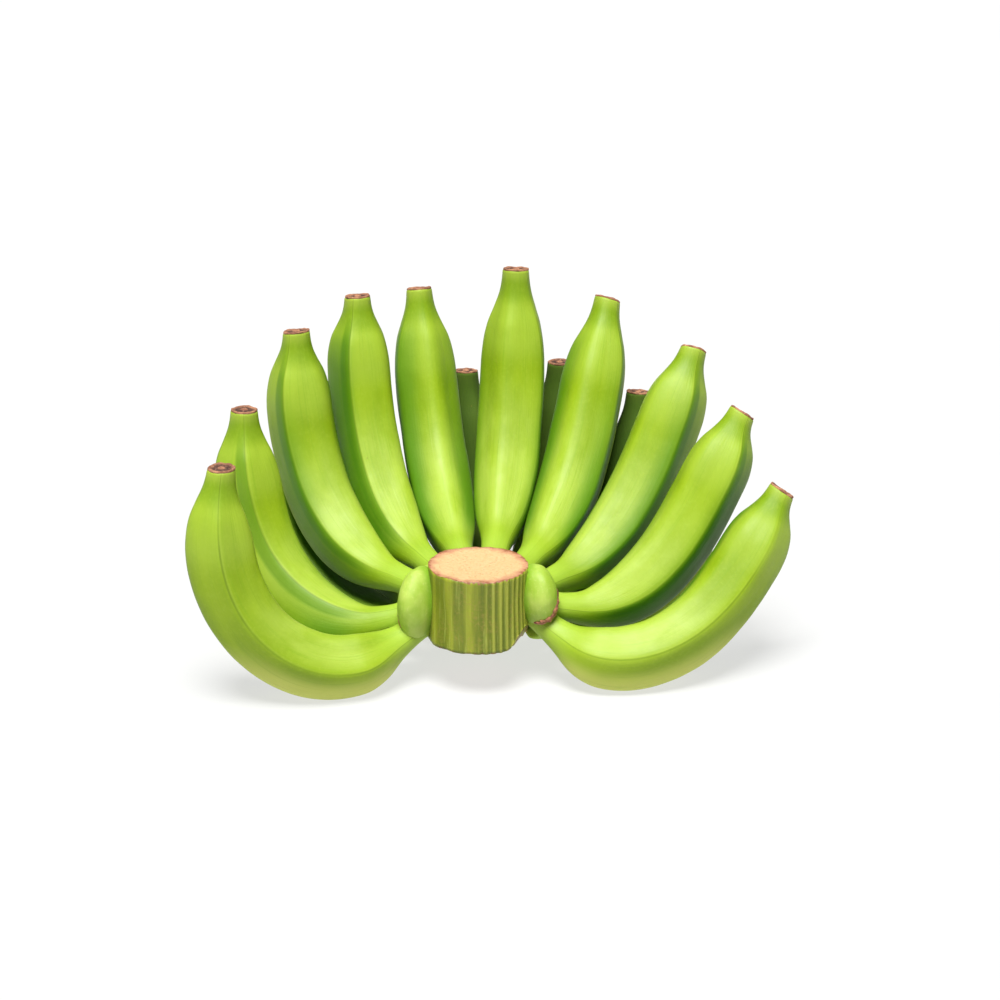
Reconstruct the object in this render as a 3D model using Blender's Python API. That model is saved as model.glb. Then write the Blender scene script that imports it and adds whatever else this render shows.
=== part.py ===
"""A hand of green bananas: two rows of fingers curving up from a crown around a piece of main stalk.

Metres, +Z up. The hand rests on the bellies of its fingers at Z = 0, its stalk stands upright, and
the origin is under the middle of the whole hand. Angles are in degrees, anticlockwise from +X.
"""

import math

import bmesh
import bpy
from mathutils import Vector

COLLECTION = "banana_hand"
GAP = 0.0003  # left between the crown and each stem
SHARP_ANGLE = 50  # edges that turn more than this stay sharp in the shading

# The piece of main stalk, and the crown that grows round its sides and back.
STALK_AT = Vector((-0.0094, -0.0700, 0.0))
STALK_RADIUS = 0.028
STALK_BOTTOM = 0.027
STALK_TOP = 0.070
STALK_SIDES = 32
CROWN_RADIUS = 0.034  # from the stalk's axis to the middle of the crown's section
CROWN_WIDTH = 0.024
CROWN_HEIGHT = 0.048
CROWN_MIDDLE = 0.046
CROWN_FROM, CROWN_TO = -22, 202
CROWN_TAPER = 24  # degrees over which each end of the crown rounds off
CROWN_END = 0.35  # its section at the very end, as a share of the full section
CROWN_RINGS, CROWN_SIDES = 22, 14

# One finger: the rings along it, the points round its five-ridged section, and its girth from the
# stem to the dry tip, each as (share of the length, share of the full girth).
RINGS = 18
STEPS_PER_RING = 6  # steps of the middle line between two rings
SIDES = 10
RIDGES = 5
RIDGE_RISE = 0.045
RIDGE_FROM, RIDGE_FULL = 0.45, 0.95  # the shares of the girth where the ridges start and are full
STEM_SHARE = 0.31
GIRTHS = (
    (0.00, 0.46), (0.07, 0.42), (0.14, 0.52), (0.22, 0.74), (0.31, 0.90), (0.42, 0.98), (0.56, 1.00),
    (0.72, 0.995), (0.80, 0.955), (0.86, 0.83), (0.905, 0.655), (0.94, 0.53), (0.97, 0.46), (1.00, 0.43),
)
STEM_REACH = 0.038  # where a finger's middle line starts, from the stalk's axis

# Each finger: seat is where it leaves the crown, height its start above the floor, heading and slope
# its direction at the stem and at the tip, bend how early it curves, roll the turn of its ridges,
# and stem the share of its length in which it swells to nine tenths of its girth.
FIELDS = "name seat height heading slope length girth roll bend stem".split()
FINGERS = (
    ("finger_inner_01", 196, 0.0372, (203, 179), (-51, 98), 0.204, 0.038, 36, 1.64, 0.18),
    ("finger_inner_02", 171, 0.044, (179, 126), (-45, 92), 0.194, 0.038, 36, 1.69, 0.31),
    ("finger_inner_03", 149, 0.054, (140, 123), (-21, 91), 0.195, 0.038, 36, 1.6, 0.31),
    ("finger_inner_04", 126, 0.059, (120, 113), (-20, 89), 0.200, 0.037, 36, 1.76, 0.31),
    ("finger_inner_05", 103, 0.061, (98, 107), (-23, 82), 0.207, 0.037, 36, 1.7, 0.31),
    ("finger_inner_06", 78, 0.062, (84, 81), (-13, 88), 0.203, 0.038, 36, 1.76, 0.31),
    ("finger_inner_07", 53, 0.060, (67, 67), (-21, 67), 0.201, 0.038, 36, 2.3, 0.31),
    ("finger_inner_08", 30, 0.054, (47, 42), (-26, 64), 0.186, 0.038, 36, 2.7, 0.31),
    ("finger_inner_09", 8, 0.0495, (11, 32), (-44, 61), 0.178, 0.038, 36, 2.95, 0.31),
    ("finger_inner_10", -12, 0.0419, (-24, 36), (-59, 57), 0.191, 0.038, 36, 2.24, 0.21),
    ("finger_outer_01", 140, 0.03155, (142, 131), (-39, 74), 0.172, 0.035, 36, 1.3, 0.31),
    ("finger_outer_02", 115, 0.03215, (118, 112), (-38, 78), 0.195, 0.036, 36, 1.3, 0.31),
    ("finger_outer_03", 92, 0.0313, (95, 90), (-37, 86), 0.214, 0.036, 36, 1.3, 0.31),
    ("finger_outer_04", 70, 0.0311, (75, 77), (-37, 90), 0.222, 0.036, 36, 1.3, 0.31),
    ("finger_outer_05", 47, 0.0322, (56, 68), (-38, 84), 0.210, 0.036, 36, 1.3, 0.31),
    ("finger_outer_06", 16, 0.0328, (47, 35), (-38, 66), 0.162, 0.033, 36, 1.2, 0.24),
)


def clear_scene():
    for item in list(bpy.data.objects):
        bpy.data.objects.remove(item, do_unlink=True)


def collection(name):
    made = bpy.data.collections.new(name)
    bpy.context.scene.collection.children.link(made)
    return made


def material(name, colour, roughness):
    made = bpy.data.materials.new(name)
    made.use_nodes = True
    shader = made.node_tree.nodes["Principled BSDF"]
    shader.inputs["Base Color"].default_value = (*colour, 1.0)
    shader.inputs["Roughness"].default_value = roughness
    shader.inputs["Metallic"].default_value = 0.0
    return made


def smooth_through(points, at):
    """The height at `at` of a smooth curve through (x, y) points, sloped by their neighbours."""
    last = len(points) - 1
    i = max(k for k in range(last) if points[k][0] <= at or k == 0)
    (x0, y0), (x1, y1) = points[i], points[i + 1]
    before, after = points[max(i - 1, 0)], points[min(i + 2, last)]
    width = x1 - x0
    slope0 = (y1 - before[1]) / (x1 - before[0]) * width
    slope1 = (after[1] - y0) / (after[0] - x0) * width
    u = (at - x0) / width
    held = (2 * u**3 - 3 * u**2 + 1) * y0 + (3 * u**2 - 2 * u**3) * y1
    return held + (u**3 - 2 * u**2 + u) * slope0 + (u**3 - u**2) * slope1


def girth_share(along, stem):
    """A finger's girth at a share of its length, as a share of its full girth."""
    if along < stem:
        return smooth_through(GIRTHS, along * STEM_SHARE / stem)
    return smooth_through(GIRTHS, STEM_SHARE + (along - stem) * (1 - STEM_SHARE) / (1 - stem))


def loft(name, rings):
    """A closed body through rings of points that run anticlockwise seen from its far end."""
    bm = bmesh.new()
    loops = [[bm.verts.new(point) for point in ring] for ring in rings]
    count = len(rings[0])
    for low, high in zip(loops, loops[1:]):
        for i in range(count):
            j = (i + 1) % count
            bm.faces.new((low[i], low[j], high[j], high[i]))
    bm.faces.new(list(reversed(loops[0])))
    bm.faces.new(loops[-1])
    bmesh.ops.recalc_face_normals(bm, faces=bm.faces)
    mesh = bpy.data.meshes.new(name)
    bm.to_mesh(mesh)
    bm.free()
    mesh.shade_smooth()
    mesh.set_sharp_from_angle(angle=math.radians(SHARP_ANGLE))
    return bpy.data.objects.new(name, mesh)


def direction(finger, along):
    """The heading and slope of a finger's middle line, in radians; it bends most near the stem."""
    eased = 1 - (1 - along) ** finger["bend"]
    (head0, head1), (slope0, slope1) = finger["heading"], finger["slope"]
    return math.radians(head0 + (head1 - head0) * eased), math.radians(slope0 + (slope1 - slope0) * eased)


def forward(heading, slope):
    flat = math.cos(slope)
    return Vector((flat * math.cos(heading), flat * math.sin(heading), math.sin(slope)))


def middle_line(finger, steps):
    """Evenly spaced points from the start of the stem to the dry tip."""
    seat = math.radians(finger["seat"])
    point = STALK_AT + Vector((STEM_REACH * math.cos(seat), STEM_REACH * math.sin(seat), finger["height"]))
    points = [point]
    for i in range(steps):
        heading, slope = direction(finger, (i + 0.5) / steps)
        point = point + forward(heading, slope) * (finger["length"] / steps)
        points.append(point)
    return points


def section(finger, along, centre):
    """One five-ridged ring of a finger, square to its middle line."""
    heading, slope = direction(finger, along)
    side = Vector((-math.sin(heading), math.cos(heading), 0.0))
    inward = forward(heading, slope).cross(side)
    share = girth_share(along, finger["stem"])
    body = min(1.0, max(0.0, (share - RIDGE_FROM) / (RIDGE_FULL - RIDGE_FROM)))
    ring = []
    for k in range(SIDES):
        turn = 2 * math.pi * k / SIDES
        ridge = 1 + RIDGE_RISE * body * math.cos(RIDGES * (turn - math.radians(finger["roll"])))
        radius = finger["girth"] / 2 * share * ridge
        ring.append(centre + (inward * math.cos(turn) + side * math.sin(turn)) * radius)
    return ring


def make_finger(finger):
    line = middle_line(finger, RINGS * STEPS_PER_RING)
    rings = [section(finger, i / RINGS, line[i * STEPS_PER_RING]) for i in range(RINGS + 1)]
    return loft(finger["name"], rings)


def make_stalk():
    bpy.ops.mesh.primitive_cylinder_add(
        vertices=STALK_SIDES,
        radius=STALK_RADIUS,
        depth=STALK_TOP - STALK_BOTTOM,
        location=STALK_AT + Vector((0, 0, (STALK_TOP + STALK_BOTTOM) / 2)),
    )
    stalk = bpy.context.object
    stalk.name = "stalk_piece"
    return stalk


def make_collar(name):
    """The crown's fleshy collar: a section carried round the stalk that rounds off at both ends."""
    rings = []
    for i in range(CROWN_RINGS + 1):
        turn = CROWN_FROM + (CROWN_TO - CROWN_FROM) * i / CROWN_RINGS
        from_end = min(turn - CROWN_FROM, CROWN_TO - turn, CROWN_TAPER) / CROWN_TAPER
        swell = CROWN_END + (1 - CROWN_END) * math.sqrt(1 - (1 - from_end) ** 2)
        around = math.radians(turn)
        outward = Vector((math.cos(around), math.sin(around), 0.0))
        centre = STALK_AT + outward * CROWN_RADIUS + Vector((0, 0, CROWN_MIDDLE))
        ring = []
        for k in range(CROWN_SIDES):
            angle = 2 * math.pi * k / CROWN_SIDES
            wide = outward * (CROWN_WIDTH / 2 * swell * math.cos(angle))
            tall = Vector((0, 0, CROWN_HEIGHT / 2 * swell * math.sin(angle)))
            ring.append(centre + wide + tall)
        rings.append(ring)
    return loft(name, rings)


def add_boolean(target, other, operation):
    cut = target.modifiers.new(operation.lower(), "BOOLEAN")
    cut.operation = operation
    cut.solver = "EXACT"
    cut.object = other


def hide_as_cutter(item, cutters):
    for owner in list(item.users_collection):
        owner.objects.unlink(item)
    cutters.objects.link(item)
    item.display_type = "WIRE"
    item.hide_render = True


def make_crown(hand, cutters):
    crown = make_collar("crown")
    hand.objects.link(crown)
    stalk = make_stalk()
    add_boolean(crown, stalk, "UNION")
    hide_as_cutter(stalk, cutters)
    return crown


def make_clearance(crown, cutters):
    """The crown grown by the gap, which cuts each stem's end to the crown's shape."""
    whole = bpy.data.meshes.new_from_object(crown.evaluated_get(bpy.context.evaluated_depsgraph_get()))
    clearance = bpy.data.objects.new("crown_clearance", whole)
    hide_as_cutter(clearance, cutters)
    grow = clearance.modifiers.new("gap", "DISPLACE")
    grow.mid_level = 0.0
    grow.strength = GAP
    return clearance


def main():
    clear_scene()
    hand = collection(COLLECTION)
    cutters = collection("cutters")
    peel = material("green_peel", (0.36, 0.60, 0.09), 0.42)
    stalk_green = material("stalk_green", (0.33, 0.37, 0.06), 0.5)

    crown = make_crown(hand, cutters)
    crown.data.materials.append(stalk_green)
    bpy.context.view_layer.update()
    clearance = make_clearance(crown, cutters)
    for row in FINGERS:
        finger = make_finger(dict(zip(FIELDS, row)))
        finger.data.materials.append(peel)
        hand.objects.link(finger)
        add_boolean(finger, clearance, "DIFFERENCE")


main()
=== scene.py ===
"""The looks of a hand of green bananas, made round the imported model.

Metres, +Z up: the hand rests on its bellies at Z = 0 and the piece of main stalk stands upright.
Angles are in degrees, anticlockwise from +X. Each finger, dry tip and scar and the collar start as
a straight rod of rings that is bent to its place, so the peel's pattern follows the fruit.
"""

import math

import bmesh
import bpy
from mathutils import Euler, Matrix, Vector, noise
from mathutils.kdtree import KDTree


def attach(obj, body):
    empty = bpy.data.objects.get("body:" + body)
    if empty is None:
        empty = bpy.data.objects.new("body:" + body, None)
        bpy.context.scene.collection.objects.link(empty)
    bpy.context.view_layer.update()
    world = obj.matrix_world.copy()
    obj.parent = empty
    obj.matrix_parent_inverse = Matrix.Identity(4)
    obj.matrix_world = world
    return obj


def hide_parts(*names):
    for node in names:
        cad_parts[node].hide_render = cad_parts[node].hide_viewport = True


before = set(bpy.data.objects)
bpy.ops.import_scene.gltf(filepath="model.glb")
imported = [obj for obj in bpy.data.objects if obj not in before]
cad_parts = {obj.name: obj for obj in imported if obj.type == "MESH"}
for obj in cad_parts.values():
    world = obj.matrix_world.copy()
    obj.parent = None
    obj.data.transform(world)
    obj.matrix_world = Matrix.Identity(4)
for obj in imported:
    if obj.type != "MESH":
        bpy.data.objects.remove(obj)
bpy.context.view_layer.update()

# The piece of main stalk.
STALK_AT = Vector((-0.0094, -0.0700, 0.0))
STALK_RADIUS = 0.028
STALK_BOTTOM = 0.027
STALK_TOP = 0.070
RIBS = 44  # round the stalk
RIB_HEIGHT = 0.0007
CHAMFER_SIDE = (0.94, -0.34)  # the side where the stalk's foot was cut off aslant
CHAMFER_FROM = 0.86  # the share of the radius where that cut begins
CHAMFER_RISE = 2.2  # how far it climbs for each metre outwards

# How a finger leaves the crown and ends.
STEM_REACH = 0.038  # from the stalk's axis to where a finger starts
ROOT_BACK = {"inner_01": 0.007, "inner_10": 0.005}  # how far a root keeps behind its cheek
ROOT_SINK = 0.008  # how far the stem runs on into the stalk
ROOT_DROP = Vector((0, 0, 0.9))  # and how far it dips meanwhile, as a share of that
CAP_SINK = 0.0026  # how far the peel's end lies below the dry tip
FINGER_RINGS = 84
FINGER_SIDES = 60

# The usual girth along a finger, as (share of the length, share of the full girth). The stem ends
# at STEM_SHARE and the neck is the last NECK_SHARE; both are stretched to fit each finger.
STEM_SHARE = 0.31
NECK_SHARE = 0.28
GIRTHS = (
    (0.00, 0.46), (0.035, 0.43), (0.075, 0.42), (0.14, 0.52), (0.22, 0.74), (0.31, 0.90),
    (0.42, 0.98), (0.56, 1.00), (0.72, 0.995), (0.80, 0.955), (0.86, 0.83), (0.905, 0.64),
    (0.94, 0.50), (0.97, 0.435), (1.00, 0.405),
)

# The fingers, as in the model: where each leaves the crown, its height there, the heading and the
# slope of its middle line at both ends, its length and girth, how early it bends, and its stem's
# share of the length.
FIELDS = "name seat height heading slope length girth bend stem".split()
FINGERS = (
    ("inner_01", 196, 0.0372, (203, 179), (-51, 98), 0.204, 0.038, 1.64, 0.18),
    ("inner_02", 171, 0.044, (179, 126), (-45, 92), 0.194, 0.038, 1.69, 0.31),
    ("inner_03", 149, 0.054, (140, 123), (-21, 91), 0.195, 0.038, 1.6, 0.31),
    ("inner_04", 126, 0.059, (120, 113), (-20, 89), 0.200, 0.037, 1.76, 0.31),
    ("inner_05", 103, 0.061, (98, 107), (-23, 82), 0.207, 0.037, 1.7, 0.31),
    ("inner_06", 78, 0.062, (84, 81), (-13, 88), 0.203, 0.038, 1.76, 0.31),
    ("inner_07", 53, 0.060, (67, 67), (-21, 67), 0.201, 0.038, 2.3, 0.31),
    ("inner_08", 30, 0.054, (47, 42), (-26, 64), 0.186, 0.038, 2.7, 0.31),
    ("inner_09", 8, 0.0495, (11, 32), (-44, 61), 0.178, 0.038, 2.95, 0.31),
    ("inner_10", -12, 0.0419, (-24, 36), (-59, 57), 0.191, 0.038, 2.24, 0.21),
    ("outer_01", 140, 0.03155, (142, 131), (-39, 74), 0.172, 0.035, 1.3, 0.31),
    ("outer_02", 115, 0.03215, (118, 112), (-38, 78), 0.195, 0.036, 1.3, 0.31),
    ("outer_03", 92, 0.0313, (95, 90), (-37, 86), 0.214, 0.036, 1.3, 0.31),
    ("outer_04", 70, 0.0311, (75, 77), (-37, 90), 0.222, 0.036, 1.3, 0.31),
    ("outer_05", 47, 0.0322, (56, 68), (-38, 84), 0.210, 0.036, 1.3, 0.31),
    ("outer_06", 16, 0.0328, (47, 35), (-38, 66), 0.162, 0.033, 1.2, 0.24),
)

# The ridges round each finger, as (turn, how sharp from 0 to 1). Turn 0 is the middle of the
# hollow side and 90 the finger's left seen from its stem. The other fingers have the usual ones.
USUAL_RIDGES = ((36, 0.5), (108, 0.6), (180, 0.4), (252, 0.6), (324, 0.5))
RIDGES = {
    "inner_01": ((14, 0.1), (85, 0.9), (157, 0.5), (229, 0.5), (302, 0.2)),
    "inner_02": ((33, 0.8), (105, 0.6), (180, 0.3), (252, 0.5), (322, 0.1)),
    "inner_03": ((340, 0.0), (60, 0.9), (132, 0.6), (204, 0.5), (276, 0.3)),
    "inner_04": ((328, 0.0), (40, 0.9), (112, 0.7), (184, 0.4), (256, 0.4)),
    "inner_05": ((358, 0.0), (69, 0.7), (140, 0.5), (212, 0.5), (286, 0.5)),
    "inner_06": ((10, 0.0), (82, 0.4), (154, 0.4), (226, 0.5), (296, 0.7)),
    "inner_07": ((0, 0.0), (72, 0.4), (144, 0.4), (216, 0.5), (289, 0.8)),
    "inner_08": ((6, 0.1), (78, 0.4), (150, 0.4), (216, 0.7), (288, 0.9)),
    "inner_09": ((350, 0.0), (66, 0.4), (138, 0.4), (208, 0.6), (277, 0.9)),
    "inner_10": ((350, 0.0), (66, 0.3), (140, 0.4), (214, 0.5), (288, 0.7)),
}

# The far ends, as (the share of the length in which the neck narrows, how many degrees the dry end
# leans to the hollow side, and to the left).
USUAL_TIP = (0.28, 4, 0)
TIPS = {
    "inner_01": (0.28, 8, 0),
    "inner_02": (0.28, 3, 2),
    "inner_03": (0.27, 11, 0),
    "inner_04": (0.25, 8, 0),
    "inner_05": (0.29, 6, 0),
    "inner_06": (0.33, 7, 0),
    "inner_07": (0.30, 4, 6),
    "inner_08": (0.26, 6, -10),
    "inner_09": (0.25, 8, 4),
    "inner_10": (0.24, 2, 10),
}

# The fingers whose outward faces get painted shade, a darker green, where the next finger keeps
# them in the shade.
PAINTED_SHADE_SIDES = ("inner_02", "inner_03", "inner_04", "inner_05", "inner_07", "inner_08", "inner_09")
# The fingers of the outer row that grew in the others' shade: a darker green peel on their hollow
# side, darkened further there with painted shade.
DARK_PEEL_AND_SHADE_ROW = ("outer_02", "outer_03", "outer_04", "outer_05")

FLAT_SHARE = 0.64  # how far a face between two ridges goes from round to flat
SHARP_EDGE, SOFT_EDGE = 2.0, 13.0  # degrees over which a ridge is rounded
MEAN_GROWTH = 1.064  # keeps a flattened section as wide as a round one
ROUND_KEPT = 0.25  # the share of that flattening that stays at the stem and the neck

# A finger's small waves, as (how close together, how high).
BROAD_WAVE = (38, 0.0005)
FINE_WAVE = (120, 0.00012)
PATTERN_STEP = 0.37  # from one finger's place in the peel's pattern to the next one's
# The gap between fingers, in metres, from full painted shade to none.
PAINTED_SHADE_GAP = (0.002, 0.034)

# The dry tip's shape from its foot over the rim into the hollow, as (share of the neck's radius,
# height in metres).
TIP_PROFILE = (
    (0.96, -0.0014), (1.00, -0.0007), (0.985, 0.0001), (0.90, 0.0004), (0.76, -0.0001),
    (0.54, -0.0010), (0.34, -0.0007), (0.20, 0.0003),
)
TIP_SIDES = 36

# The collar round the back of the stalk, from one turn to another.
COLLAR_FROM, COLLAR_TO = 8, 180
COLLAR_RADIUS = 0.035
COLLAR_TAPER = 30  # degrees over which its ends narrow
COLLAR_LOW, COLLAR_HIGH = 0.024, 0.061
COLLAR_HALF_WIDTH = 0.0120

# The fleshy swells on both sides of the stalk's front: (name, centre from the stalk's foot, turn
# of the long axis in degrees, half sizes along it, across it and upright).
CHEEK_LEFT = ("cheek_left", (-0.0330, -0.0025, 0.0475), 240, (0.0170, 0.0105, 0.0215))
CHEEK_RIGHT = ("cheek_right", (0.0325, -0.0025, 0.0530), -60, (0.0160, 0.0105, 0.0178))

# The torn skin on them, as (name, cheek, (turn, height) points on the cheek, half width).
SCARS = (
    ("scar_right", CHEEK_RIGHT, ((68, 14), (46, -12), (18, -34), (-14, -46), (-50, -52)), 0.0024),
    ("scar_left", CHEEK_LEFT, ((-66, 6), (-50, -22), (-28, -44), (18, -60)), 0.0013),
)

CAMERA_TARGET = STALK_AT + Vector((0.0123, 0.040, 0.094))
CAMERA_DISTANCE = 2.0
CAMERA_ELEVATION = 20
CAMERA_LENS = 126.3
FLOOR_RADIUS = 9.0


# ---------------------------------------------------------------- colours and material nodes

def paint(red, green, blue):
    """A colour given as screen values from 0 to 255, for a shader."""
    def linear(value):
        share = value / 255
        return share / 12.92 if share <= 0.04045 else ((share + 0.055) / 1.055) ** 2.4
    return (linear(red), linear(green), linear(blue), 1.0)


class Finish:
    """A material whose nodes are made and joined by short calls."""

    def __init__(self, name):
        self.material = bpy.data.materials.new(name)
        self.material.use_nodes = True
        self.tree = self.material.node_tree
        self.shader = self.tree.nodes["Principled BSDF"]

    def node(self, kind, **settings):
        made = self.tree.nodes.new(kind)
        for name, value in settings.items():
            setattr(made, name, value)
        return made

    def feed(self, socket, value):
        if isinstance(value, bpy.types.NodeSocket):
            self.tree.links.new(value, socket)
        else:
            socket.default_value = value

    def number(self, name):
        """A number that the mesh carries for each vertex."""
        return self.node("ShaderNodeAttribute", attribute_name=name).outputs["Fac"]

    def vector(self, name):
        return self.node("ShaderNodeAttribute", attribute_name=name).outputs["Vector"]

    def place(self):
        return self.node("ShaderNodeTexCoord").outputs["Object"]

    def math(self, operation, first, second):
        made = self.node("ShaderNodeMath", operation=operation)
        self.feed(made.inputs[0], first)
        self.feed(made.inputs[1], second)
        return made.outputs[0]

    def times(self, first, second):
        return self.math("MULTIPLY", first, second)

    def between(self, value, low, high, start=0.0, end=1.0):
        """The value's place between low and high, eased, as a number from start to end."""
        made = self.node("ShaderNodeMapRange", interpolation_type="SMOOTHSTEP")
        for socket, fed in zip(made.inputs, (value, low, high, start, end)):
            self.feed(socket, fed)
        return made.outputs[0]

    def band(self, value, low, high, soft):
        """1 from low to high, fading to 0 over `soft` on both sides."""
        rise = self.between(value, low - soft, low)
        return self.times(rise, self.between(value, high, high + soft, 1.0, 0.0))

    def stretched(self, where, across, lengthwise):
        made = self.node("ShaderNodeMapping")
        self.feed(made.inputs["Vector"], where)
        made.inputs["Scale"].default_value = (across, across, lengthwise)
        return made.outputs[0]

    def noise(self, where, scale, detail=3.0, rough=0.55):
        made = self.node("ShaderNodeTexNoise")
        self.feed(made.inputs["Vector"], where)
        made.inputs["Scale"].default_value = scale
        made.inputs["Detail"].default_value = detail
        made.inputs["Roughness"].default_value = rough
        return made.outputs["Fac"]

    def cells(self, where, scale):
        made = self.node("ShaderNodeTexVoronoi")
        self.feed(made.inputs["Vector"], where)
        made.inputs["Scale"].default_value = scale
        return made.outputs["Distance"]

    def parts(self, vector):
        made = self.node("ShaderNodeSeparateXYZ")
        self.feed(made.inputs[0], vector)
        return made.outputs

    def mix(self, share, first, second):
        made = self.node("ShaderNodeMix", data_type="RGBA")
        self.feed(made.inputs["Factor"], share)
        self.feed(made.inputs[6], first)
        self.feed(made.inputs[7], second)
        return made.outputs[2]

    def tint(self, body, share, most, second):
        """The body mixed with a second colour by a share, and by `most` where the share is 1."""
        return self.mix(self.times(share, most), body, second)

    def colour(self, value):
        self.feed(self.shader.inputs["Base Color"], value)

    def translucent(self):
        """A little light that goes through green flesh."""
        self.shader.inputs["Subsurface Weight"].default_value = 0.08
        self.shader.inputs["Subsurface Radius"].default_value = (0.6, 1.0, 0.2)
        self.shader.inputs["Subsurface Scale"].default_value = 0.004

    def surface(self, roughness, bumps):
        """The roughness, and bumps as (height, depth in metres) laid one on another."""
        self.feed(self.shader.inputs["Roughness"], roughness)
        normal = None
        for height, depth in bumps:
            bump = self.node("ShaderNodeBump")
            bump.inputs["Strength"].default_value = 1.0
            bump.inputs["Distance"].default_value = depth
            self.feed(bump.inputs["Height"], height)
            if normal:
                self.feed(bump.inputs["Normal"], normal)
            normal = bump.outputs[0]
        self.feed(self.shader.inputs["Normal"], normal)


def peel_finish():
    """Green peel: mottled and finely streaked, paler on the shoulder, greener on the neck."""
    finish = Finish("green_peel")
    rod = finish.vector("rod")
    along = finish.number("along")
    cosine, sine, sharp = finish.parts(finish.vector("ridge"))

    patches = finish.noise(finish.stretched(rod, 45, 16), 1.0, 2.0)
    streaks = finish.noise(finish.stretched(rod, 900, 22), 1.0, 3.0)
    mottle = finish.noise(rod, 420, 4.0, 0.6)
    body = finish.mix(finish.between(patches, 0.35, 0.65), paint(124, 153, 5), paint(140, 168, 15))
    # Painted light: the undersides of the fingers near the floor are paler and yellower, as if lit
    # from the floor.
    body = finish.tint(body, finish.number("belly"), 0.9, paint(198, 204, 96))
    # A pale waxy powder in patches, laid on the hollow side in the middle of each finger, which
    # faces up: partly the peel's own powder, partly painted light.
    powder_and_light_mottle = finish.noise(finish.stretched(rod, 70, 30), 1.0, 3.0)
    powder_and_light_mottle = finish.between(powder_and_light_mottle, 0.3, 0.65, 0.25, 0.6)
    body = finish.tint(body, finish.number("bloom"), powder_and_light_mottle, paint(172, 194, 82))
    shoulder = finish.band(along, 0.80, 0.88, 0.10)
    body = finish.tint(body, shoulder, 0.45, paint(160, 186, 62))
    neck = finish.band(along, 0.935, 0.960, 0.045)
    body = finish.tint(body, neck, 0.5, paint(104, 140, 6))
    body = finish.mix(finish.between(along, 0.955, 0.995, 0.0, 0.5), body, paint(166, 186, 72))
    stem = finish.between(along, 0.05, 0.16, 1.0, 0.0)
    body = finish.tint(body, stem, 0.55, paint(160, 190, 70))
    body = finish.mix(finish.between(streaks, 0.52, 0.72, 0.0, 0.22), body, paint(104, 148, 8))
    body = finish.mix(finish.between(mottle, 0.45, 0.75, 0.0, 0.14), body, paint(170, 192, 66))

    # The ridges: painted shade, a darker green, on the face outside some ridges, a dark crest that
    # fades in places, and a painted highlight, a pale line inside.
    fades = finish.between(finish.noise(rod, 24, 2.0), 0.35, 0.6, 0.5, 1.0)
    near = finish.times(finish.times(finish.between(cosine, 0.0, 0.5), fades), sharp)
    crest = finish.times(finish.band(sine, -0.06, 0.04, 0.16), near)
    beside = finish.times(finish.band(sine, 0.20, 0.30, 0.14), near)
    # Painted shade on the outward face of a ridge, on the fingers that a neighbour shades.
    below = finish.times(finish.band(sine, -1.0, -0.10, 0.10), finish.between(cosine, -0.7, 0.0))
    below = finish.times(finish.times(below, sharp), finish.number("shaded"))
    body = finish.tint(body, below, 0.8, paint(78, 124, 2))
    body = finish.tint(body, crest, 0.6, paint(88, 112, 6))
    # Painted highlight: a pale line along the lit side of a ridge.
    body = finish.tint(body, beside, 0.14, paint(180, 200, 90))

    # Painted shade: a darker green where other fingers lie close, and on the outer row's hollow
    # side, which also has a darker peel of its own.
    deep = finish.number("deep")
    body = finish.tint(body, finish.number("crowded"), 0.85, paint(64, 118, 1))
    body = finish.tint(body, deep, 0.9, paint(50, 76, 6))

    specks = finish.between(finish.cells(rod, 95), 0.035, 0.06, 1.0, 0.0)
    specks = finish.times(specks, finish.between(finish.noise(rod, 38, 1.0), 0.56, 0.64))
    finish.colour(finish.tint(body, specks, 0.45, paint(120, 104, 40)))
    rough = finish.between(finish.noise(rod, 60, 3.0), 0.3, 0.7, 0.50, 0.58)
    rough = finish.math("ADD", rough, finish.times(deep, 0.35))
    finish.surface(rough, ((streaks, 0.00012), (mottle, 0.00008)))
    finish.shader.inputs["Specular IOR Level"].default_value = 0.34
    finish.translucent()
    return finish.material


def dry_finish():
    """The dry end where the flower was: brown, darker the lower it lies in its hollow as painted
    shade, and pale on its torn edge.
    """
    finish = Finish("dry_brown")
    place = finish.place()
    height = finish.number("height")
    grain = finish.noise(place, 900, 5.0, 0.65)
    blotch = finish.noise(place, 260, 3.0)
    patches = finish.between(blotch, 0.35, 0.65)
    colour = finish.mix(patches, paint(128, 82, 60), paint(176, 124, 92))
    # Painted shade: darker the lower a point lies in the hollow.
    hollow = finish.between(height, 0.1, 0.75, 0.85, 0.0)
    colour = finish.mix(hollow, colour, paint(44, 20, 18))
    colour = finish.mix(finish.between(grain, 0.56, 0.72, 0.0, 0.7), colour, paint(226, 178, 138))
    finish.colour(colour)
    finish.surface(finish.between(grain, 0.3, 0.7, 0.7, 0.95), ((grain, 0.0004), (blotch, 0.0004)))
    return finish.material


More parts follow.
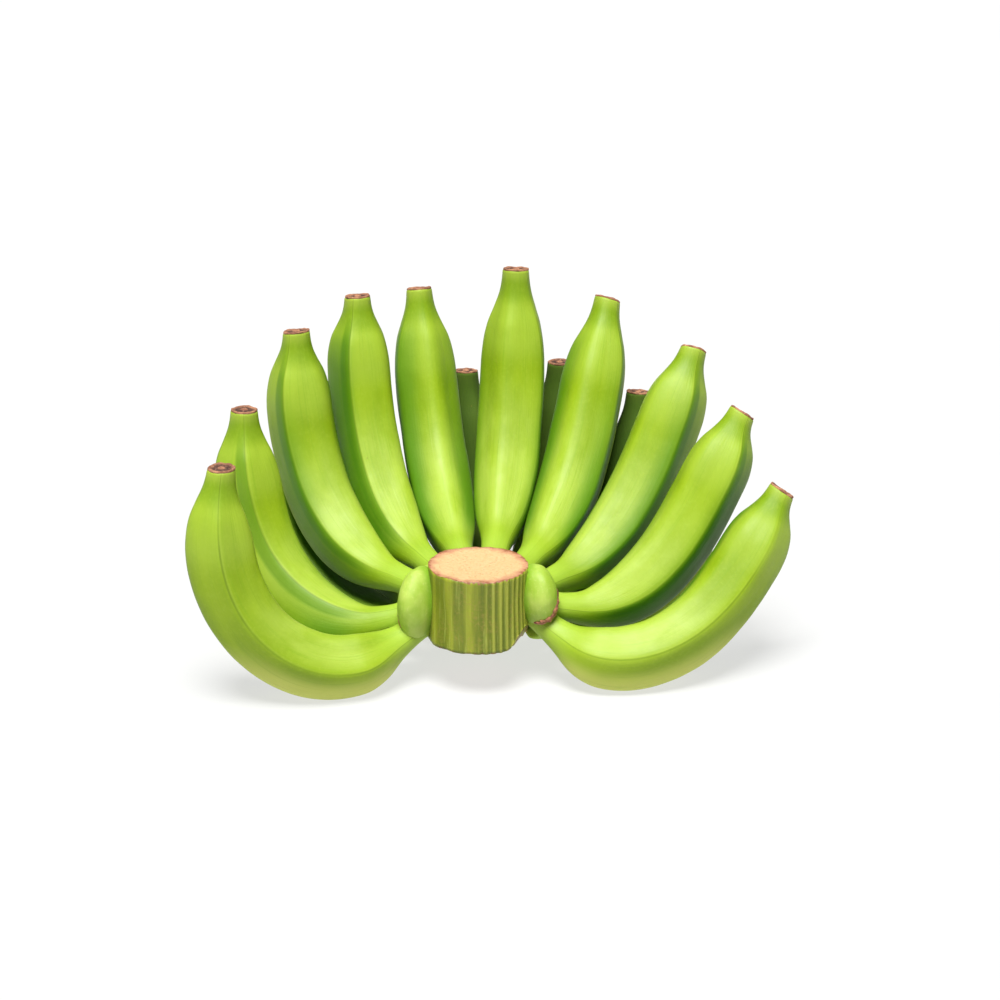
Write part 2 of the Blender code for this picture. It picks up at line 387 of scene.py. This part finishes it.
def stalk_finish():
    """The stalk's skin: olive green, with pale ribs, dark furrows and brownish mottling."""
    finish = Finish("stalk_skin")
    place = finish.place()
    rib = finish.number("rib")
    strands = finish.noise(finish.stretched(place, 700, 24), 1.0, 4.0, 0.6)
    broad = finish.noise(finish.stretched(place, 130, 9), 1.0, 3.0)
    mottle = finish.noise(place, 520, 5.0, 0.65)
    colour = finish.mix(finish.between(broad, 0.36, 0.60), paint(104, 116, 6), paint(150, 158, 36))
    colour = finish.mix(finish.between(rib, 0.45, 0.95, 0.0, 0.6), colour, paint(172, 176, 66))
    colour = finish.mix(finish.between(rib, 0.40, 0.05, 0.0, 0.6), colour, paint(88, 102, 4))
    blotch = finish.between(finish.noise(place, 85, 3.0), 0.42, 0.62, 0.25, 1.0)
    brown = finish.times(finish.between(mottle, 0.42, 0.70), blotch)
    colour = finish.tint(colour, brown, 0.5, paint(150, 132, 60))
    ragged = finish.between(mottle, 0.3, 0.7, -0.35, 0.35)
    ragged = finish.math("ADD", finish.number("rim"), ragged)
    colour = finish.mix(finish.between(ragged, 0.5, 0.75, 0.0, 0.9), colour, paint(138, 88, 66))
    colour = finish.mix(finish.between(strands, 0.52, 0.75, 0.0, 0.4), colour, paint(178, 190, 92))
    finish.colour(colour)
    rough = finish.between(mottle, 0.3, 0.7, 0.45, 0.6)
    finish.surface(rough, ((strands, 0.0003), (mottle, 0.0002)))
    return finish.material


def cut_finish():
    """The cut face: pale peach flesh with fibre ends, salmon towards the skin."""
    finish = Finish("cut_flesh")
    place = finish.place()
    grain = finish.noise(place, 620, 4.0, 0.6)
    cloud = finish.noise(place, 150, 3.0)
    fibres = finish.between(finish.cells(place, 420), 0.12, 0.30, 1.0, 0.0)
    wander = finish.between(cloud, 0.2, 0.8, -0.09, 0.09)
    wander = finish.math("ADD", finish.number("edge"), wander)
    colour = finish.between(grain, 0.35, 0.65)
    colour = finish.mix(colour, paint(204, 164, 116), paint(214, 176, 130))
    colour = finish.tint(colour, fibres, 0.3, paint(190, 144, 92))
    colour = finish.mix(finish.between(wander, 0.80, 0.97, 0.0, 0.9), colour, paint(184, 128, 98))
    colour = finish.mix(finish.between(wander, 0.96, 1.02, 0.0, 0.8), colour, paint(140, 78, 50))
    finish.colour(colour)
    finish.surface(finish.between(grain, 0.3, 0.7, 0.5, 0.7), ((fibres, 0.0003), (grain, 0.0003)))
    return finish.material


def collar_finish():
    """The collar's smooth flesh: pale green on its swells, and a stronger green as painted shade
    in the crease where it meets the stalk.
    """
    finish = Finish("collar_skin")
    place = finish.place()
    cloud = finish.noise(place, 70, 3.0)
    grain = finish.noise(place, 650, 4.0, 0.6)
    streak = finish.noise(finish.stretched(place, 420, 60), 1.0, 3.0)
    colour = finish.between(cloud, 0.35, 0.65)
    colour = finish.mix(colour, paint(146, 176, 52), paint(168, 190, 78))
    colour = finish.mix(finish.between(streak, 0.5, 0.75, 0.0, 0.3), colour, paint(124, 166, 40))
    # Painted shade in the crease where the flesh meets the stalk.
    colour = finish.tint(colour, finish.number("stalk_crease_shade"), 0.85, paint(112, 158, 20))
    colour = finish.mix(finish.between(grain, 0.55, 0.75, 0.0, 0.25), colour, paint(206, 214, 130))
    finish.colour(colour)
    rough = finish.between(cloud, 0.3, 0.7, 0.52, 0.64)
    finish.surface(rough, ((streak, 0.0002), (grain, 0.00012)))
    finish.translucent()
    return finish.material


def torn_finish():
    """Old torn skin: reddish brown with pale fibres and dark cracks."""
    finish = Finish("torn_skin")
    place = finish.place()
    grain = finish.noise(place, 800, 5.0, 0.65)
    blotch = finish.noise(place, 300, 3.0)
    patches = finish.between(blotch, 0.35, 0.65)
    colour = finish.mix(patches, paint(118, 72, 52), paint(178, 116, 84))
    colour = finish.mix(finish.between(grain, 0.55, 0.7, 0.0, 0.6), colour, paint(206, 160, 120))
    colour = finish.mix(finish.between(grain, 0.42, 0.3, 0.0, 0.7), colour, paint(66, 36, 34))
    finish.colour(colour)
    finish.surface(finish.between(grain, 0.3, 0.7, 0.7, 0.9), ((grain, 0.0004), (blotch, 0.0003)))
    return finish.material


def floor_finish():
    """A plain pale floor that glows a little, so that it is nearly white."""
    finish = Finish("pale_floor")
    grain = finish.noise(finish.place(), 6, 2.0)
    finish.colour(finish.mix(grain, paint(117, 117, 116), paint(121, 121, 120)))
    finish.surface(0.8, ((grain, 0.0001),))
    finish.shader.inputs["Emission Color"].default_value = (1.0, 1.0, 1.0, 1.0)
    finish.shader.inputs["Emission Strength"].default_value = 0.66
    return finish.material


# ---------------------------------------------------------------- rods and pieces

def ease(low, high, value):
    """0 below low, 1 above high, and smooth between."""
    share = min(1.0, max(0.0, (value - low) / (high - low)))
    return share * share * (3 - 2 * share)


def smooth_through(points, at):
    """The height at `at` of a smooth curve through (x, y) points, sloped by their neighbours."""
    last = len(points) - 1
    i = max(k for k in range(last) if points[k][0] <= at or k == 0)
    (x0, y0), (x1, y1) = points[i], points[i + 1]
    before, after = points[max(i - 1, 0)], points[min(i + 2, last)]
    width = x1 - x0
    slope0 = (y1 - before[1]) / (x1 - before[0]) * width
    slope1 = (after[1] - y0) / (after[0] - x0) * width
    u = (at - x0) / width
    held = (2 * u**3 - 3 * u**2 + 1) * y0 + (3 * u**2 - 2 * u**3) * y1
    return held + (u**3 - 2 * u**2 + u) * slope0 + (u**3 - u**2) * slope1


def cut_lengthwise(bm, length, cuts):
    """Cuts every edge that rises more than a length into equal pieces."""
    rises = {edge: abs(edge.verts[0].co.z - edge.verts[1].co.z) for edge in bm.edges}
    edges = [edge for edge in bm.edges if rises[edge] > length]
    bmesh.ops.subdivide_edges(bm, edges=edges, cuts=cuts, use_grid_fill=True)


def straight_rod(rings, sides):
    """A closed rod of radius 1 from Z = 0 to 1, cut into rings, with two rings in each cap."""
    bm = bmesh.new()
    bmesh.ops.create_cone(bm, cap_ends=True, segments=sides, radius1=1, radius2=1, depth=1)
    bmesh.ops.translate(bm, verts=bm.verts, vec=(0, 0, 0.5))
    caps = [face for face in bm.faces if len(face.verts) == sides]
    for _ in range(2):
        bmesh.ops.inset_region(bm, faces=caps, thickness=0.33, use_even_offset=True)
    cut_lengthwise(bm, 0.5, rings - 1)
    return bm


def on_rod(vert):
    """A rod vertex's share along, its turn in degrees and its reach from the middle line."""
    x, y, z = vert.co
    return z, math.degrees(math.atan2(y, x)) % 360, min(1.0, math.hypot(x, y))


def add_object(name, data):
    added = bpy.data.objects.new(name, data)
    bpy.context.scene.collection.objects.link(added)
    return added


def around_at(turn, radius=1.0):
    """A point on a level circle at a turn."""
    angle = math.radians(turn)
    return Vector((math.cos(angle) * radius, math.sin(angle) * radius, 0.0))


def finish_piece(bm, name, material, node, values=None, subdivide=1):
    """Turns a bmesh into a piece that rides the hand; values hold {attribute: one per vertex}."""
    bmesh.ops.recalc_face_normals(bm, faces=bm.faces)
    if bm.calc_volume(signed=True) < 0:
        bmesh.ops.reverse_faces(bm, faces=bm.faces)
    mesh = bpy.data.meshes.new(name)
    bm.to_mesh(mesh)
    bm.free()
    mesh.shade_smooth()
    for key, numbers in (values or {}).items():
        vector = isinstance(numbers[0], Vector)
        attribute = mesh.attributes.new(key, "FLOAT_VECTOR" if vector else "FLOAT", "POINT")
        for spot, number in zip(attribute.data, numbers):
            if vector:
                spot.vector = number
            else:
                spot.value = number
    piece = add_object(name, mesh)
    mesh.materials.append(material)
    if subdivide:
        smooth = piece.modifiers.new("smooth", "SUBSURF")
        smooth.levels = subdivide
        smooth.render_levels = subdivide
    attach(piece, "root")
    if node:
        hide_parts(node)
    return piece


# ---------------------------------------------------------------- fingers

def forward(heading, slope):
    """The direction with a heading and a slope, both in radians."""
    flat = math.cos(slope)
    return Vector((flat * math.cos(heading), flat * math.sin(heading), math.sin(slope)))


def middle_line(finger, rings):
    """For each ring: its centre, and the directions forward, left and to the hollow side."""
    centre = STALK_AT + around_at(finger["seat"], STEM_REACH) + Vector((0, 0, finger["height"]))
    steps = rings * 2

    def heading_at(along):
        eased = 1 - (1 - min(1.0, along)) ** finger["bend"]
        ends = finger["heading"], finger["slope"]
        return [math.radians(start + (end - start) * eased) for start, end in ends]

    line = []
    for i in range(steps + 1):
        if i % 2 == 0:
            heading, slope = heading_at(i / steps)
            ahead = forward(heading, slope)
            side = Vector((-math.sin(heading), math.cos(heading), 0.0))
            line.append((centre.copy(), ahead, side, ahead.cross(side)))
        centre = centre + forward(*heading_at((i + 0.5) / steps)) * (finger["length"] / steps)
    return line


def girth_share(finger, along):
    """A finger's girth at a share of its length, as a share of its full girth."""
    stem, neck = finger["stem"], TIPS.get(finger["name"], USUAL_TIP)[0]
    if along < stem:
        at = along * STEM_SHARE / stem
    elif along > 1 - neck:
        at = 1 - (1 - along) * NECK_SHARE / neck
    else:
        at = STEM_SHARE + (along - stem) * (1 - NECK_SHARE - STEM_SHARE) / (1 - neck - stem)
    return smooth_through(GIRTHS, at)


def tip_lean(finger, along, angle):
    """How far a point near the tip moves forward, because the dry end isn't cut quite square."""
    leans = TIPS.get(finger["name"], USUAL_TIP)[1:]
    lean_in, lean_left = (math.tan(math.radians(lean)) for lean in leans)
    radius = finger["girth"] / 2 * girth_share(finger, along) * ease(0.90, 1.0, along)
    return (lean_in * math.cos(angle) + lean_left * math.sin(angle)) * radius


def ridge_at(ridges, turn):
    """(phase round the ridges, sharpness, section radius) at a turn; a ridge has phase 0."""
    for i, (start, sharp0) in enumerate(ridges):
        end, sharp1 = ridges[(i + 1) % len(ridges)]
        gap = (end - start) % 360
        past = (turn - start) % 360
        if past < gap:
            break
    share = past / gap
    sharp = sharp0 + (sharp1 - sharp0) * ease(0.3, 0.7, share)
    rounded = SOFT_EDGE + (SHARP_EDGE - SOFT_EDGE) * sharp
    from_ridge = min(past, gap - past)
    from_ridge = math.hypot(from_ridge, rounded) - rounded
    half = gap / 2
    from_middle = math.radians(max(0.0, half - from_ridge))
    chord = math.cos(math.radians(half)) / math.cos(from_middle)
    return 2 * math.pi * share, sharp, 1 + FLAT_SHARE * (chord - 1)


def painted_neighbour_shade(finger):
    """A function of (point, outward direction): how closely other fingers face it, from 0 to 1,
    for the painted shade between fingers.
    """
    rings, nearest = 24, 16
    others = KDTree((len(FINGERS) - 1) * (rings + 1))
    girths = []
    for row in FINGERS:
        other = dict(zip(FIELDS, row))
        if other["name"] != finger["name"]:
            for i, (centre, *_) in enumerate(middle_line(other, rings)):
                others.insert(centre, len(girths))
                girths.append(other["girth"] / 2 * girth_share(other, i / rings))
    others.balance()

    def shade_from_neighbours(point, out):
        most = 0.0
        for centre, index, distance in others.find_n(point, nearest):
            facing = (centre - point).normalized().dot(out)
            gap = distance - girths[index]
            most = max(most, ease(0.15, 0.85, facing) * (1 - ease(*PAINTED_SHADE_GAP, gap)))
        return most

    return shade_from_neighbours


def make_finger(finger, order, material):
    """One finger's peel, bent from a rod; the section's ridges fade at the neck and the stem."""
    name, rings, sides = finger["name"], FINGER_RINGS, FINGER_SIDES
    ridges = RIDGES.get(name, USUAL_RIDGES)
    line = middle_line(finger, rings)
    shade_from_neighbours = painted_neighbour_shade(finger)
    table = {}
    bm = straight_rod(rings, sides)
    names = "rod along ridge belly deep crowded bloom shaded".split()
    values = {key: [] for key in names}
    for vert in bm.verts:
        along, turn, reach = on_rod(vert)
        spot = round(turn * 4)
        if spot not in table:
            table[spot] = ridge_at(ridges, turn)
        phase, sharp, flat = table[spot]
        centre, ahead, side, inward = line[min(rings, round(along * rings))]
        share = girth_share(finger, along)
        ridged = ease(0.40, 0.85, share)
        angle = math.radians(turn)
        hollow = math.cos(angle)
        flattened = (flat * MEAN_GROWTH - 1) * (ROUND_KEPT + (1 - ROUND_KEPT) * ridged)
        radius = finger["girth"] / 2 * share * (1 + flattened)
        out = inward * hollow + side * math.sin(angle)
        rod = Vector((math.cos(angle), math.sin(angle), 0)) * (finger["girth"] / 2)
        rod.z = along * finger["length"] + order * PATTERN_STEP

        centre = centre - (line[0][1] + ROOT_DROP) * (ROOT_SINK * (1 - ease(0.0, 0.11, along)))
        centre = centre + Vector((0, ROOT_BACK.get(name, 0.0) * (1 - ease(0.02, 0.20, along)), 0))
        wave = sum(noise.noise(rod * scale) * high for scale, high in (BROAD_WAVE, FINE_WAVE))
        vert.co = centre + out * (radius + wave * ridged) * reach
        vert.co += ahead * tip_lean(finger, along, angle)
        if along > 0.999:
            vert.co -= ahead * CAP_SINK * min(1.0, (1 - reach) * 4)

        to_hollow = math.sin(phase) if turn > 180 else -math.sin(phase)
        middle = ease(0.08, 0.2, along) * (1 - ease(0.4, 0.75, along))
        low_down = 1 - ease(0.015, 0.045, vert.co.z)
        # Where the outer row's fingers get a darker peel and painted shade: the hollow side, from
        # the middle on.
        inside = ease(0.3, 0.7, along) * ease(-0.3, 0.5, hollow)
        row = (
            rod, along, Vector((math.cos(phase), to_hollow, sharp)),
            # painted light from the floor on undersides close to it
            ease(0.0, 0.75, -hollow) * ridged * low_down,
            inside if name in DARK_PEEL_AND_SHADE_ROW else 0.0,
            # painted shade where other fingers face this point closely
            shade_from_neighbours(vert.co, out) * ridged,
            # the hollow side in the middle: waxy powder and painted light
            ease(-0.1, 0.8, hollow) * middle,
            ridged if name in PAINTED_SHADE_SIDES else 0.0,
        )
        for key, value in zip(names, row):
            values[key].append(value)
    return finish_piece(bm, f"peel_{name}", material, f"finger_{name}", values)


def make_dry_tip(finger, order, material):
    """The dry end: a ragged rim round a hollow with the stub of the flower in it."""
    rings = len(TIP_PROFILE) - 1
    centre, ahead, side, inward = middle_line(finger, FINGER_RINGS)[-1]
    radius = finger["girth"] / 2 * girth_share(finger, 1.0)
    bm = straight_rod(rings, TIP_SIDES)
    heights = []
    for vert in bm.verts:
        along, turn, reach = on_rod(vert)
        wide, high = TIP_PROFILE[round(along * rings)]
        angle = math.radians(turn)
        ragged = noise.noise(around_at(turn, 2.2) + Vector((0, 0, order * 3.1 + along)))
        fine = noise.noise(around_at(turn, 7) + Vector((0, 0, order * 5.3 + along * 4)))
        rim = ease(0.6, 0.9, wide)
        lift = high + (ragged * 0.0006 + fine * 0.0005) * rim + fine * 0.0004 * (1 - rim)
        lift = min(lift, high + 0.0010) + tip_lean(finger, 1.0, angle) * wide * reach
        out = inward * math.cos(angle) + side * math.sin(angle)
        vert.co = centre + ahead * lift + out * radius * wide * reach * (1 + 0.05 * ragged)
        # heights that set the painted shade in the hollow
        heights.append(ease(-0.0009, 0.0007, high + fine * 0.0004) if along > 0.2 else 0.8)
    name = f"dry_tip_{finger['name']}"
    return finish_piece(bm, name, material, None, {"height": heights})


# ---------------------------------------------------------------- stalk and collar

def rib_at(turn):
    """The height of the ribs, from 0 to about 1; only the stalk's right front is well ribbed."""
    swing = math.sin(math.radians(turn * 3.0 + 20)) * 0.8
    rib = 0.5 + 0.5 * math.sin(math.radians(turn * RIBS) + swing)
    broad = 0.5 + 0.5 * math.sin(math.radians(turn * 14 + 40))
    ribbed = ease(262, 290, turn) * (1 - ease(352, 360, turn)) if turn > 180 else 0.15
    return rib * (0.06 + 0.94 * ribbed) + broad * 0.30 * (1 - ribbed)


def make_stalk(skin, flesh):
    """The cut piece of main stalk: a ribbed barrel with a cut face at each end."""
    height = STALK_TOP - STALK_BOTTOM
    bm = bmesh.new()
    radii = {"radius1": STALK_RADIUS, "radius2": STALK_RADIUS}
    bmesh.ops.create_cone(bm, cap_ends=True, segments=276, depth=height, **radii)
    caps = [face for face in bm.faces if len(face.verts) > 4]
    cut_lengthwise(bm, height / 2, 22)
    for thickness in (0.0007, 0.0025, 0.0045, 0.0055, 0.006, 0.0045):
        bmesh.ops.inset_region(bm, faces=caps, thickness=thickness, use_even_offset=True)
    middle = STALK_AT + Vector((0, 0, (STALK_TOP + STALK_BOTTOM) / 2))
    values = {"rib": [], "rim": [], "edge": []}
    for vert in bm.verts:
        turn = math.degrees(math.atan2(vert.co.y, vert.co.x)) % 360
        reach = math.hypot(vert.co.x, vert.co.y) / STALK_RADIUS
        up = vert.co.z / height
        rib = rib_at(turn)
        outer = ease(0.93, 0.999, reach)
        waist = 1 - 0.02 * math.sin(math.pi * (up + 0.5)) + 0.015 * (0.5 - up)
        grow = waist + rib * RIB_HEIGHT / STALK_RADIUS * outer
        grow += noise.noise((around_at(turn) + Vector((0, 0, up * 1.2))) * 2) * 0.015 * outer
        vert.co.x *= grow
        vert.co.y *= grow
        if abs(up) > 0.49:
            uneven = noise.noise(Vector((vert.co.x * 90, vert.co.y * 90, 4.0)))
            torn = noise.noise(around_at(turn, 9) + Vector((0, 0, up)))
            dish = math.copysign(0.0010, up) * (1 - reach)
            vert.co.z += uneven * 0.0007 - dish + torn * 0.0005 * outer
        aside = vert.co.x * CHAMFER_SIDE[0] + vert.co.y * CHAMFER_SIDE[1]
        past = max(0.0, aside - STALK_RADIUS * CHAMFER_FROM)
        lowest = CHAMFER_RISE * past - height / 2
        if vert.co.z < lowest:
            vert.co.z = lowest + (vert.co.z + height / 2) * 0.02
        vert.co += middle
        values["rib"].append(rib)
        torn_here = ease(0.80, 0.97, math.sin(math.radians(4 - turn)))
        top_rim = ease(0.478 - 0.035 * torn_here, 0.497, up) * (0.55 + 0.45 * torn_here)
        values["rim"].append(max(top_rim, (1 - ease(-0.498, -0.480, up)) * 0.6))
        values["edge"].append(min(1.0, reach))
    bm.normal_update()
    for face in bm.faces:
        if abs(face.normal.z) > 0.75:
            face.material_index = 1
    stalk = finish_piece(bm, "stalk", skin, "crown", values, subdivide=0)
    stalk.data.materials.append(flesh)
    return stalk


def collar_point(turn, angle, reach=1.0):
    """A point of the collar at a turn round the stalk and an angle round its own section."""
    from_end = max(0.0, min(turn - COLLAR_FROM, COLLAR_TO - turn, COLLAR_TAPER)) / COLLAR_TAPER
    swell = 0.04 + 0.96 * math.sqrt(1 - (1 - from_end) ** 2)
    tilt = math.radians(angle)
    outward = around_at(turn)
    centre = STALK_AT + outward * COLLAR_RADIUS + Vector((0, 0, (COLLAR_LOW + COLLAR_HIGH) / 2))
    wide = COLLAR_HALF_WIDTH * swell
    tall = (COLLAR_HIGH - COLLAR_LOW) / 2 * (0.35 + 0.65 * swell)
    aside = outward * (wide * math.cos(tilt)) + Vector((0, 0, tall * math.sin(tilt)))
    return centre + aside * reach


def make_collar(material):
    """The collar: a rod that lies round the stalk's back, with its ends narrowed."""
    bm = straight_rod(96, 48)
    crease_shades = []
    for vert in bm.verts:
        along, angle, reach = on_rod(vert)
        turn = COLLAR_FROM + (COLLAR_TO - COLLAR_FROM) * along
        point = collar_point(turn, angle, reach)
        lump = noise.noise(point * 55) * 0.0014 + noise.noise(point * 160) * 0.0003
        vert.co = collar_point(turn, angle, reach * (1 + lump / 0.02))
        # closeness to the stalk, for the painted shade in the crease
        crease_shades.append(1 - ease(0.0285, 0.038, (point - STALK_AT).xy.length))
    return finish_piece(bm, "collar", material, "crown", {"stalk_crease_shade": crease_shades})


def cheek_point(cheek, turn, height, reach=1.0):
    """A point on a cheek at a turn from its long axis and a height over its middle, in degrees."""
    _, centre, axis, (long, wide, tall) = cheek
    around, up = math.radians(turn), math.radians(height)
    level = math.cos(up)
    point = Vector((level * math.cos(around) * long, level * math.sin(around) * wide, 0.0))
    point.rotate(Euler((0, 0, math.radians(axis))))
    point.z = math.sin(up) * tall
    return STALK_AT + Vector(centre) + point * reach


def make_cheek(cheek, material, order):
    """A swell beside the stalk's front, bent from a ball, with a few soft lumps."""
    bm = bmesh.new()
    bmesh.ops.create_uvsphere(bm, u_segments=72, v_segments=44, radius=1)
    crease_shades = []
    for vert in bm.verts:
        place = Vector((*vert.co.xy, vert.co.z + order * 5.0))
        lump = noise.noise(place * 1.7) * 0.04 + noise.noise(place * 5) * 0.010
        turn = math.degrees(math.atan2(vert.co.y, vert.co.x))
        height = math.degrees(math.asin(max(-1.0, min(1.0, vert.co.z))))
        vert.co = cheek_point(cheek, turn, height, 1 + lump)
        # closeness to the stalk, for the painted shade in the crease
        crease_shades.append(1 - ease(0.0275, 0.034, (vert.co - STALK_AT).xy.length))
    return finish_piece(bm, cheek[0], material, None, {"stalk_crease_shade": crease_shades})


def make_scar(scar, material, order):
    """A ragged line of torn skin that lies on a cheek along (turn, height) points."""
    name, cheek, path, width = scar
    bm = straight_rod(60, 12)
    shares = [i / (len(path) - 1) for i in range(len(path))]
    turns, heights = (list(zip(shares, column)) for column in zip(*path))

    def at(along):
        return cheek_point(cheek, smooth_through(turns, along), smooth_through(heights, along))

    for vert in bm.verts:
        along, turn, reach = on_rod(vert)
        centre = at(along)
        ahead = (at(min(1.0, along + 0.02)) - at(max(0.0, along - 0.02))).normalized()
        out = centre - (STALK_AT + Vector(cheek[1]))
        side = ahead.cross(out).normalized()
        up = side.cross(ahead)
        angle = math.radians(turn)
        ragged = noise.noise(Vector((along * 14, math.cos(angle), order * 4.7)))
        size = width * math.sqrt(max(0.0, 1 - (2 * along - 1) ** 4)) * (1 + 0.9 * ragged) * reach
        vert.co = centre + side * (math.cos(angle) * size) + up * (math.sin(angle) * size * 0.45)
    return finish_piece(bm, name, material, None)


# ---------------------------------------------------------------- stage

def make_floor(material):
    bm = bmesh.new()
    bmesh.ops.create_circle(bm, cap_ends=True, radius=FLOOR_RADIUS, segments=64)
    mesh = bpy.data.meshes.new("floor")
    bm.to_mesh(mesh)
    bm.free()
    mesh.materials.append(material)
    add_object("floor", mesh)


def aim(item, place, target):
    item.location = place
    item.rotation_euler = (Vector(target) - Vector(place)).to_track_quat("-Z", "Y").to_euler()


def make_camera():
    camera = bpy.data.cameras.new("camera")
    camera.lens = CAMERA_LENS
    camera.clip_end = 50
    viewer = add_object("camera", camera)
    rise = math.radians(CAMERA_ELEVATION)
    back = Vector((0, -math.cos(rise), math.sin(rise))) * CAMERA_DISTANCE
    aim(viewer, CAMERA_TARGET + back, CAMERA_TARGET)
    bpy.context.scene.camera = viewer


def make_studio():
    """A broad sun from the upper front, a weak lamp from behind and a faint white world."""
    world = bpy.data.worlds.new("studio")
    bpy.context.scene.world = world
    world.use_nodes = True
    world.node_tree.nodes["Background"].inputs["Color"].default_value = (1.0, 1.0, 1.0, 1.0)
    world.node_tree.nodes["Background"].inputs["Strength"].default_value = 0.02
    bpy.context.scene.view_settings.view_transform = "Standard"
    key = bpy.data.lights.new("key", "SUN")
    key.angle = math.radians(28)
    key.energy = 6.2
    aim(add_object("key", key), (-0.3, -1.7, 4.2), (0, 0, 0.08))
    fill = bpy.data.lights.new("back_fill", "AREA")
    fill.shape = "SQUARE"
    fill.size = 0.6
    fill.energy = 2.5
    aim(add_object("back_fill", fill), (0.0, 1.6, 1.1), (0, 0, 0.1))


def main():
    make_camera()
    make_studio()
    make_floor(floor_finish())
    peel, dry, torn = peel_finish(), dry_finish(), torn_finish()
    for order, row in enumerate(FINGERS):
        finger = dict(zip(FIELDS, row))
        make_finger(finger, order, peel)
        make_dry_tip(finger, order, dry)
    make_stalk(stalk_finish(), cut_finish())
    fleshy = collar_finish()
    make_collar(fleshy)
    for order, cheek in enumerate((CHEEK_LEFT, CHEEK_RIGHT), 1):
        make_cheek(cheek, fleshy, order)
    for order, scar in enumerate(SCARS, 1):
        make_scar(scar, torn, order)


main()
